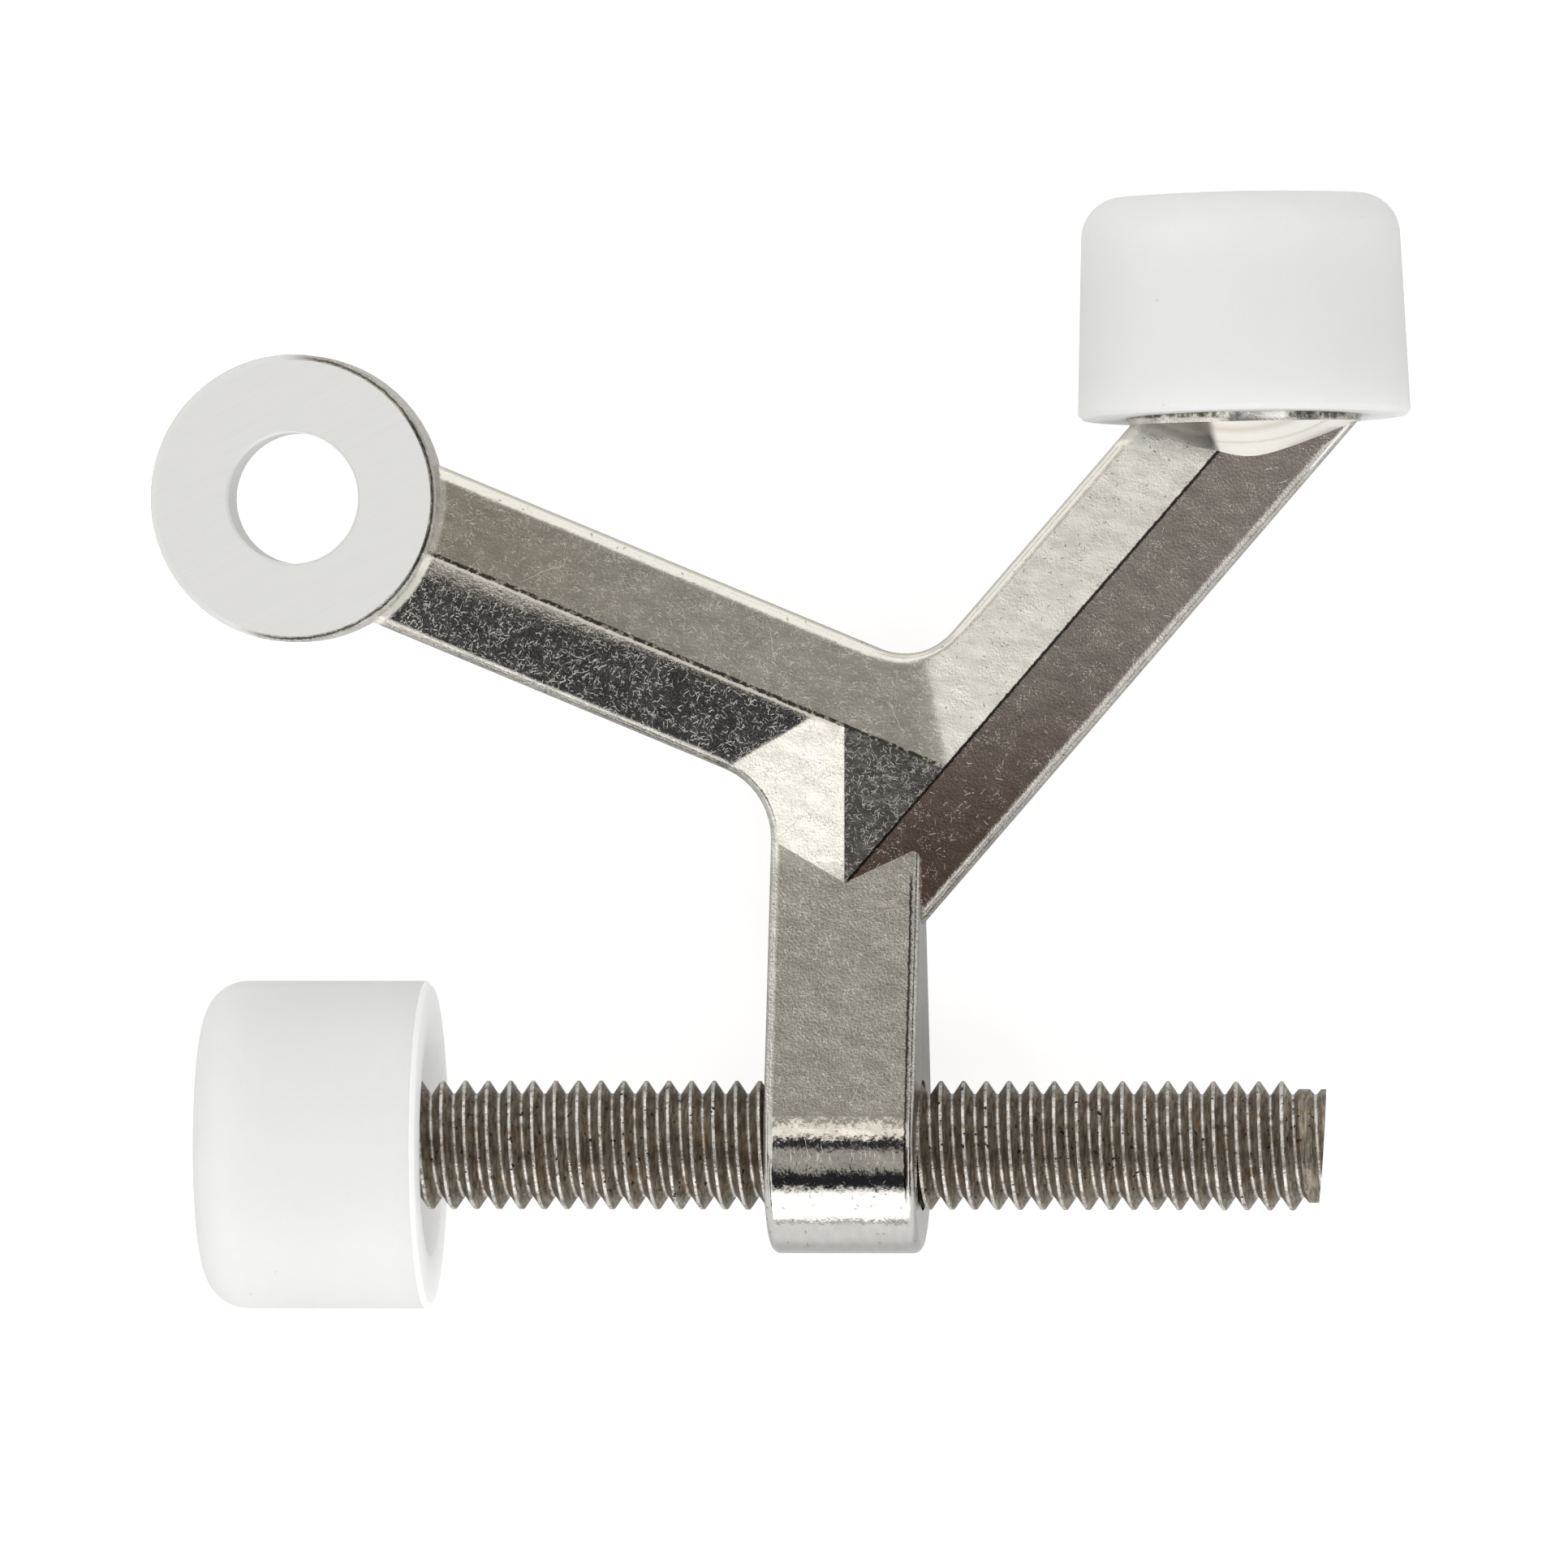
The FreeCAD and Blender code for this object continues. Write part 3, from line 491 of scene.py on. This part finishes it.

    # Painted highlight on the fillet round the ring
    fillet = both(
        tree,
        band(tree, calc(tree, "ADD", radius, ragged), RING_RADIUS + 0.05, RING_RADIUS + 0.5, 0.12),
        between(tree, step(tree, left, 0.0, -0.3), 0.35, 1.0),
        step(tree, x, 4.0, 5.0),
    )
    warm = blend(tree, fillet, warm, (0.96, 0.94, 0.88, 1))
    ground = blend(tree, brushed, (0.82, 0.83, 0.83, 1), (0.88, 0.89, 0.89, 1))
    colour = blend(tree, calc(tree, "MAXIMUM", on_face, in_bore), warm, ground)
    tree.links.new(colour, shader.inputs["Base Color"])
    rough = between(tree, grain(tree, place, 0.8, 2.0), 0.10, 0.18)
    rough = between(tree, on_boss, rough, 0.07)
    rough = between(tree, calc(tree, "MULTIPLY", stroke_and_glint, 0.8), rough, 0.55)
    rough = between(tree, wear_and_highlight, rough, 0.5)
    rough = between(tree, on_face, rough, 0.46)
    rough = between(tree, in_bore, rough, 0.4)
    tree.links.new(rough, shader.inputs["Roughness"])
    upward = both(tree, on_right, step(tree, y, -24.0, -4.0))
    metal = between(tree, in_bore, between(tree, on_face, 1.0, 0.35), 0.2)
    metal = calc(tree, "SUBTRACT", metal, calc(tree, "MULTIPLY", upward, 0.26))
    on_rim = step(tree, radius, RING_RADIUS - 0.2, RING_RADIUS - 0.1)
    on_rim = both(tree, on_rim, step(tree, past_ring, 1.0, 0.9))
    metal = between(tree, calc(tree, "MAXIMUM", calc(tree, "MAXIMUM", on_cone, fillet), on_rim), metal, 0.25)
    tree.links.new(metal, shader.inputs["Metallic"])
    return made


def valley_normal(tree, x, y, left, right):
    """The surface's normal, but with a soft bend in two valleys: where the left arm's lower face meets the
    leg's left face, along a line closer to the arm's ridge, and where the two arms' upper faces meet."""
    normal = node(tree, "NewGeometry").outputs["Normal"]
    parts = node(tree, "SeparateXYZ")
    join(tree, normal, parts.inputs[0])
    sloping = step(tree, calc(tree, "ABSOLUTE", parts.outputs[2]), 0.92, 0.94)
    up = calc(tree, "MULTIPLY", calc(tree, "SIGN", parts.outputs[2]), 0.96)
    lower_zone = both(
        tree,
        sloping,
        step(tree, x, LEG_X - 8.5, LEG_X - 8.0),
        step(tree, x, LEG_X + 0.01, LEG_X - 0.01),
        step(tree, left, 0.01, -0.01),
        step(tree, y, HUB_TIP_Y + 4.2, HUB_TIP_Y + 4.4),
    )
    upper_side = line_side(tree, x, y, ARMS_CROSS, ARMS_VALLEY_TURN)
    upper_zone = both(
        tree,
        sloping,
        step(tree, calc(tree, "MINIMUM", left, right), -0.01, 0.01),
        step(tree, calc(tree, "ABSOLUTE", upper_side), 1.6, 1.5),
    )
    lower_side = line_side(tree, x, y, VALLEY_START, VALLEY_TURN)
    for zone, side, soft, first, second in (
        (lower_zone, lower_side, 0.24, LOWER_FACE_LEAN, LEG_FACE_LEAN),
        (upper_zone, upper_side, 1.1, UPPER_FACE_LEAN, RIGHT_FACE_LEAN),
    ):
        share = step(tree, side, soft, -soft)
        lean_x = between(tree, share, first[0], second[0])
        lean_y = between(tree, share, first[1], second[1])
        aim = triple(tree, lean_x, lean_y, up)
        mix = node(tree, "Mix", data_type="VECTOR")
        for value, number in ((zone, 0), (normal, 4), (aim, 5)):
            join(tree, value, mix.inputs[number])
        normal = mix.outputs[1]
    unit = node(tree, "VectorMath", operation="NORMALIZE")
    join(tree, normal, unit.inputs[0])
    return unit.outputs[0]


# Plain steel with dirt in the grooves of its thread
def steel():
    made, tree, shader, place, (x, y, z) = material("steel")
    join(tree, 1.0, shader.inputs["Metallic"])
    down = calc(tree, "SUBTRACT", y, ROD_Y)
    radius = length(tree, down, z)
    middle = (CREST_RADIUS + ROOT_RADIUS) / 2
    half = (CREST_RADIUS - ROOT_RADIUS) / 2
    off_middle = calc(tree, "ABSOLUTE", calc(tree, "SUBTRACT", radius, middle))
    edge = step(tree, off_middle, half - 0.07, half - 0.02)
    patch = grain(tree, place, 0.45, 3.0, 0.6)
    fine = grain(tree, place, 5.0, 3.0, 0.6)
    streaks = grain(tree, scaled(tree, place, (7, 1.0, 1.0)), 1.0, 3.0, 0.65)
    flank = blend(tree, patch, (0.26, 0.225, 0.18, 1), (0.48, 0.43, 0.36, 1))
    clean = step(tree, streaks, 0.35, 0.68)
    flank = blend(tree, clean, scaled(tree, flank, (0.45,) * 3), scaled(tree, flank, (1.25,) * 3))
    # The crests are painted bright: partly worn bare steel, partly a painted highlight
    bright = blend(tree, fine, (0.66, 0.64, 0.60, 1), (0.98, 0.97, 0.95, 1))
    wear_and_highlight = step(tree, grain(tree, place, 1.6, 3.0, 0.7), 0.36, 0.54)
    edge = calc(tree, "MULTIPLY", edge, between(tree, wear_and_highlight, 0.25, 1.0))
    colour = blend(tree, edge, flank, bright)
    specks = step(tree, grain(tree, place, 2.6, 2.0), 0.64, 0.70)
    colour = blend(tree, specks, colour, (0.035, 0.028, 0.022, 1))
    rust = calc(
        tree,
        "MULTIPLY",
        step(tree, grain(tree, scaled(tree, place, (1, 1, 1), (1.1, 0.3, 0.5)), 1.1, 3.0), 0.56, 0.68),
        step(tree, fine, 0.35, 0.6),
    )
    colour = blend(tree, calc(tree, "MULTIPLY", rust, 0.6), colour, (0.30, 0.17, 0.07, 1))
    tree.links.new(colour, shader.inputs["Base Color"])
    tree.links.new(between(tree, edge, 0.42, 0.22), shader.inputs["Roughness"])
    lines = grain(tree, scaled(tree, place, (9, 1.2, 1.2)), 1.0, 3.0, 0.6)
    height = calc(tree, "ADD", calc(tree, "MULTIPLY", lines, 0.6), calc(tree, "MULTIPLY", fine, 0.8))
    bumped(tree, shader, height, 0.07 * MM)
    return made


# Soft white plastic, satin, with a little dust
def plastic():
    made, tree, shader, place, (x, y, z) = material("white_plastic")
    cloud = grain(tree, place, 0.12, 2.0)
    colour = blend(tree, cloud, (0.835, 0.855, 0.87, 1), (0.875, 0.895, 0.91, 1))
    dust = step(tree, grain(tree, place, 2.2, 1.0), 0.80, 0.84)
    colour = blend(tree, calc(tree, "MULTIPLY", dust, 0.5), colour, (0.35, 0.32, 0.28, 1))
    tree.links.new(colour, shader.inputs["Base Color"])
    tree.links.new(between(tree, grain(tree, place, 0.9), 0.42, 0.52), shader.inputs["Roughness"])
    height = calc(
        tree,
        "ADD",
        grain(tree, place, 6.0, 2.0),
        calc(tree, "MULTIPLY", grain(tree, place, 0.35, 2.0), 1.5),
    )
    bumped(tree, shader, height, 0.02 * MM)
    # Painted light: the rod bumper's recess and its faces turned toward +x glow a little, to lighten them
    across = calc(tree, "SUBTRACT", y, ROD_Y)
    inside = length(tree, across, z)
    inside = both(tree, step(tree, inside, 7.0, 6.9), step(tree, x, -2.2, -2.0), 0.20)
    lean = node(tree, "SeparateXYZ")
    join(tree, node(tree, "NewGeometry").outputs["Normal"], lean.inputs[0])
    mouth = both(tree, step(tree, lean.outputs[0], 0.25, 0.75), step(tree, y, -25.0, -26.0), 0.20)
    join(tree, (1.0, 1.0, 1.0, 1.0), shader.inputs["Emission Color"])
    join(tree, calc(tree, "MAXIMUM", inside, mouth), shader.inputs["Emission Strength"])
    shader.inputs["Subsurface Weight"].default_value = 0.9
    shader.inputs["Subsurface Radius"].default_value = (1, 1, 1)
    shader.inputs["Subsurface Scale"].default_value = 4.5 * MM
    return made


# The rod: a right-handed thread whose grooves run over the whole shank, with its head in one mesh
def thread_radius(share, turn, x):
    """The radius at a share of the pitch from one crest's middle to the next, with small hammering marks."""
    for (low, first), (high, second) in zip(PROFILE, PROFILE[1:]):
        if share <= high:
            radius = first + (second - first) * (share - low) / (high - low)
            break
    wear = noise.noise(Vector((x * 0.9, 3 * math.cos(turn), 3 * math.sin(turn))))
    return radius + CREST_WEAR * wear * (radius - ROOT_RADIUS) / (CREST_RADIUS - ROOT_RADIUS)


def threaded_mesh():
    points, faces = [], []
    turns = range(math.floor(HEAD_RIGHT / PITCH) - 1, math.ceil(ROD_END / PITCH) + 2)
    rows = len(turns) * len(SHARES)
    for i in range(TURN_STEPS + 1):
        turn = 2 * math.pi * i / TURN_STEPS
        right = ROD_END + BLUNT_RADIUS * (END_SLANT[0] * math.cos(turn) + END_SLANT[1] * math.sin(turn))
        blunt_from = BLUNT_FROM - PITCH / 4 * math.cos(turn)
        for k in turns:
            for share in SHARES:
                x = THREAD_SHIFT + (k + share + turn / (2 * math.pi)) * PITCH
                x = min(max(x, HEAD_RIGHT), right)
                turns_on = (x - THREAD_SHIFT) / PITCH - turn / (2 * math.pi)
                radius = thread_radius(turns_on % 1.0, turn, x)
                radius = min(radius, BLUNT_RADIUS + 3 * max(0.0, blunt_from - x))
                points.append((x, ROD_Y + radius * math.cos(turn), radius * math.sin(turn)))
    for i in range(TURN_STEPS):
        for j in range(rows - 1):
            a, b = i * rows + j, (i + 1) * rows + j
            faces.append((a, a + 1, b + 1, b))
    centre = len(points)
    points.append((ROD_END, ROD_Y, 0))
    for i in range(TURN_STEPS):
        faces.append((i * rows + rows - 1, centre, (i + 1) * rows + rows - 1))

    outline = [(HEAD_LEFT, 0.0)]
    for corner, start in (((HEAD_LEFT + HEAD_ROUND), 180), ((HEAD_RIGHT - HEAD_ROUND), 90)):
        for n in range(7):
            angle = math.radians(start - 15 * n)
            radius = HEAD_RADIUS - HEAD_ROUND + HEAD_ROUND * math.sin(angle)
            outline.append((corner + HEAD_ROUND * math.cos(angle), radius))
    outline.append((HEAD_RIGHT, ROOT_RADIUS - 0.1))
    first = len(points)
    for i in range(TURN_STEPS):
        turn = 2 * math.pi * i / TURN_STEPS
        for x, radius in outline:
            points.append((x, ROD_Y + radius * math.cos(turn), radius * math.sin(turn)))
    for i in range(TURN_STEPS):
        for j in range(len(outline) - 1):
            a = first + i * len(outline) + j
            b = first + (i + 1) % TURN_STEPS * len(outline) + j
            faces.append((a, a + 1, b + 1, b))

    mesh = bpy.data.meshes.new("rod")
    mesh.from_pydata([tuple(v * MM for v in p) for p in points], [], faces)
    return mesh


def tidy_mesh(mesh, sharp):
    work = bmesh.new()
    work.from_mesh(mesh)
    bmesh.ops.remove_doubles(work, verts=work.verts, dist=0.002 * MM)
    bmesh.ops.dissolve_degenerate(work, edges=work.edges, dist=0.001 * MM)
    bmesh.ops.recalc_face_normals(work, faces=work.faces)
    for edge in work.edges:
        if len(edge.link_faces) == 2 and edge.calc_face_angle(0) > sharp:
            edge.smooth = False
    for face in work.faces:
        face.smooth = True
    work.to_mesh(mesh)
    work.free()


rod = bpy.data.objects.new("rod", threaded_mesh())
bpy.context.scene.collection.objects.link(rod)
tidy_mesh(rod.data, math.radians(20))
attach(rod, "rod")
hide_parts("threaded_rod")

nickel_look, steel_look, plastic_look = nickel(), steel(), plastic()
paint("casting", nickel_look)
paint("rod_bumper", plastic_look)
paint("fixed_bumper", plastic_look)
paint(rod, steel_look)

# The floor, pale, with the object's shadow on it
FLOOR_LEVEL = -10.6
FLOOR_HALF = 1.5
floor_mesh = bpy.data.meshes.new("floor")
floor_mesh.from_pydata(
    [(x, y, FLOOR_LEVEL * MM) for x, y in ((-FLOOR_HALF, -FLOOR_HALF), (FLOOR_HALF, -FLOOR_HALF),
                                           (FLOOR_HALF, FLOOR_HALF), (-FLOOR_HALF, FLOOR_HALF))],
    [],
    [(0, 1, 2, 3)],
)
floor = bpy.data.objects.new("floor", floor_mesh)
bpy.context.scene.collection.objects.link(floor)
floor_look = bpy.data.materials.new("floor")
floor_look.use_nodes = True
tree = floor_look.node_tree
base = tree.nodes["Principled BSDF"]
base.inputs["Base Color"].default_value = (0.8, 0.8, 0.8, 1)
base.inputs["Roughness"].default_value = 0.9
path = node(tree, "LightPath")
glow = node(tree, "Emission", Color=(1, 1, 1, 1))
tree.links.new(calc(tree, "MULTIPLY", path.outputs["Is Camera Ray"], 0.58), glow.inputs["Strength"])
added = node(tree, "AddShader")
tree.links.new(base.outputs[0], added.inputs[0])
tree.links.new(glow.outputs[0], added.inputs[1])
tree.links.new(added.outputs[0], tree.nodes["Material Output"].inputs["Surface"])
floor_mesh.materials.append(floor_look)


# The light: a pale tent all round with the dark gaps and bright panels that polished metal shows.
# A direction (x, y, z) is written as (x, y) / (1 + z), so 0, 0 is straight up out of the ring's face.
def tent():
    world = bpy.data.worlds.new("tent")
    bpy.context.scene.world = world
    world.use_nodes = True
    tree = world.node_tree
    parts = node(tree, "SeparateXYZ")
    tree.links.new(node(tree, "TexCoord").outputs["Generated"], parts.inputs[0])
    x, y, z = parts.outputs
    depth = calc(tree, "MAXIMUM", calc(tree, "ADD", z, 1.0), 0.05)
    u, v = calc(tree, "DIVIDE", x, depth), calc(tree, "DIVIDE", y, depth)

    def card(colour, centre, half, value, soft):
        """Lays one rounded panel of that value over the colour so far."""
        along = calc(tree, "DIVIDE", calc(tree, "SUBTRACT", u, centre[0]), half[0])
        along = calc(tree, "POWER", calc(tree, "ABSOLUTE", along), 4.0)
        across = calc(tree, "DIVIDE", calc(tree, "SUBTRACT", v, centre[1]), half[1])
        across = calc(tree, "POWER", calc(tree, "ABSOLUTE", across), 4.0)
        far = calc(tree, "ADD", along, across)
        return blend(tree, step(tree, far, 1 + soft * 4, 1 - soft), colour, (*value, 1))

    uneven = grain(tree, triple(tree, u, v, 0.0), 24.0, 2.0)
    uneven = calc(tree, "ADD", 0.40, calc(tree, "MULTIPLY", uneven, 1.2))
    colour = (1.06, 1.055, 1.04, 1)
    colour = card(colour, (0.0, 0.30), (0.42, 0.115), (0.46, 0.445, 0.40), 0.5)
    colour = card(colour, (0.02, 0.02), (0.13, 0.06), (0.035, 0.035, 0.04), 0.4)
    colour = card(colour, (-0.04, 0.135), (0.13, 0.050), (1.4, 1.35, 1.25), 0.4)
    colour = card(colour, (-0.10, -0.265), (0.17, 0.115), (0.025, 0.025, 0.03), 0.4)
    colour = card(colour, (-0.03, -0.43), (0.12, 0.085), (0.025, 0.025, 0.03), 0.4)
    colour = card(colour, (-0.03, -0.14), (0.055, 0.10), (0.50, 0.485, 0.46), 0.4)
    colour = card(colour, (0.22, -0.20), (0.15, 0.17), (0.11, 0.077, 0.06), 0.5)
    colour = card(colour, (-0.30, 0.10), (0.11, 0.17), (1.0, 0.985, 0.94), 0.5)
    colour = card(colour, (-0.24, -0.03), (0.09, 0.07), (1.3, 1.27, 1.2), 0.5)
    colour = card(colour, (-0.13, -0.12), (0.035, 0.05), (1.0, 0.96, 0.88), 0.6)
    colour = card(colour, (-0.05, -0.68), (0.5, 0.22), (1.45, 1.42, 1.37), 0.3)
    colour = card(colour, (-0.05, -0.985), (0.7, 0.025), (0.15, 0.14, 0.13), 0.3)
    colour = card(colour, (0.72, 0.0), (0.14, 0.5), (0.10, 0.10, 0.10), 0.4)
    colour = card(colour, (-0.62, -0.45), (0.10, 0.30), (0.05, 0.05, 0.05), 0.4)
    uneven = triple(tree, uneven, uneven, uneven)
    mixed = node(tree, "VectorMath", operation="MULTIPLY")
    join(tree, colour, mixed.inputs[0])
    join(tree, uneven, mixed.inputs[1])
    colour = mixed.outputs[0]
    back = tree.nodes["Background"]
    camera = node(tree, "LightPath").outputs["Is Camera Ray"]
    tree.links.new(blend(tree, camera, colour, (1, 1, 1, 1)), back.inputs["Color"])
    back.inputs["Strength"].default_value = 1.0


tent()

# One soft lamp above, for the shadow and the white plastic
lamp = bpy.data.objects.new("lamp", bpy.data.lights.new("lamp", "AREA"))
lamp.data.size = 0.5
lamp.data.energy = 2.2
lamp.location = Vector((0.30, -0.38, 0.72))
lamp.rotation_euler = (-lamp.location).to_track_quat("-Z", "Y").to_euler()
lamp.visible_glossy = False
bpy.context.scene.collection.objects.link(lamp)

# The camera stands 5.4 degrees to the right of straight above, with a long lens
CAMERA_YAW = math.radians(5.4)
FRAME_WIDTH = 96.6 * MM
CENTRE_RIGHT = 29.985 * MM
CENTRE_UP = -17.585 * MM
CAMERA_DISTANCE = 1.6
camera = bpy.data.objects.new("camera", bpy.data.cameras.new("camera"))
bpy.context.scene.collection.objects.link(camera)
right = Vector((math.cos(CAMERA_YAW), 0, -math.sin(CAMERA_YAW)))
back = Vector((math.sin(CAMERA_YAW), 0, math.cos(CAMERA_YAW)))
up = Vector((0, 1, 0))
camera.rotation_euler = Euler((0, CAMERA_YAW, 0))
camera.location = right * CENTRE_RIGHT + up * CENTRE_UP + back * CAMERA_DISTANCE
camera.data.sensor_width = 36
camera.data.lens = 36 * CAMERA_DISTANCE / FRAME_WIDTH
camera.data.clip_start = 0.1
camera.data.clip_end = 20
bpy.context.scene.camera = camera

bpy.context.scene.view_settings.view_transform = "Standard"
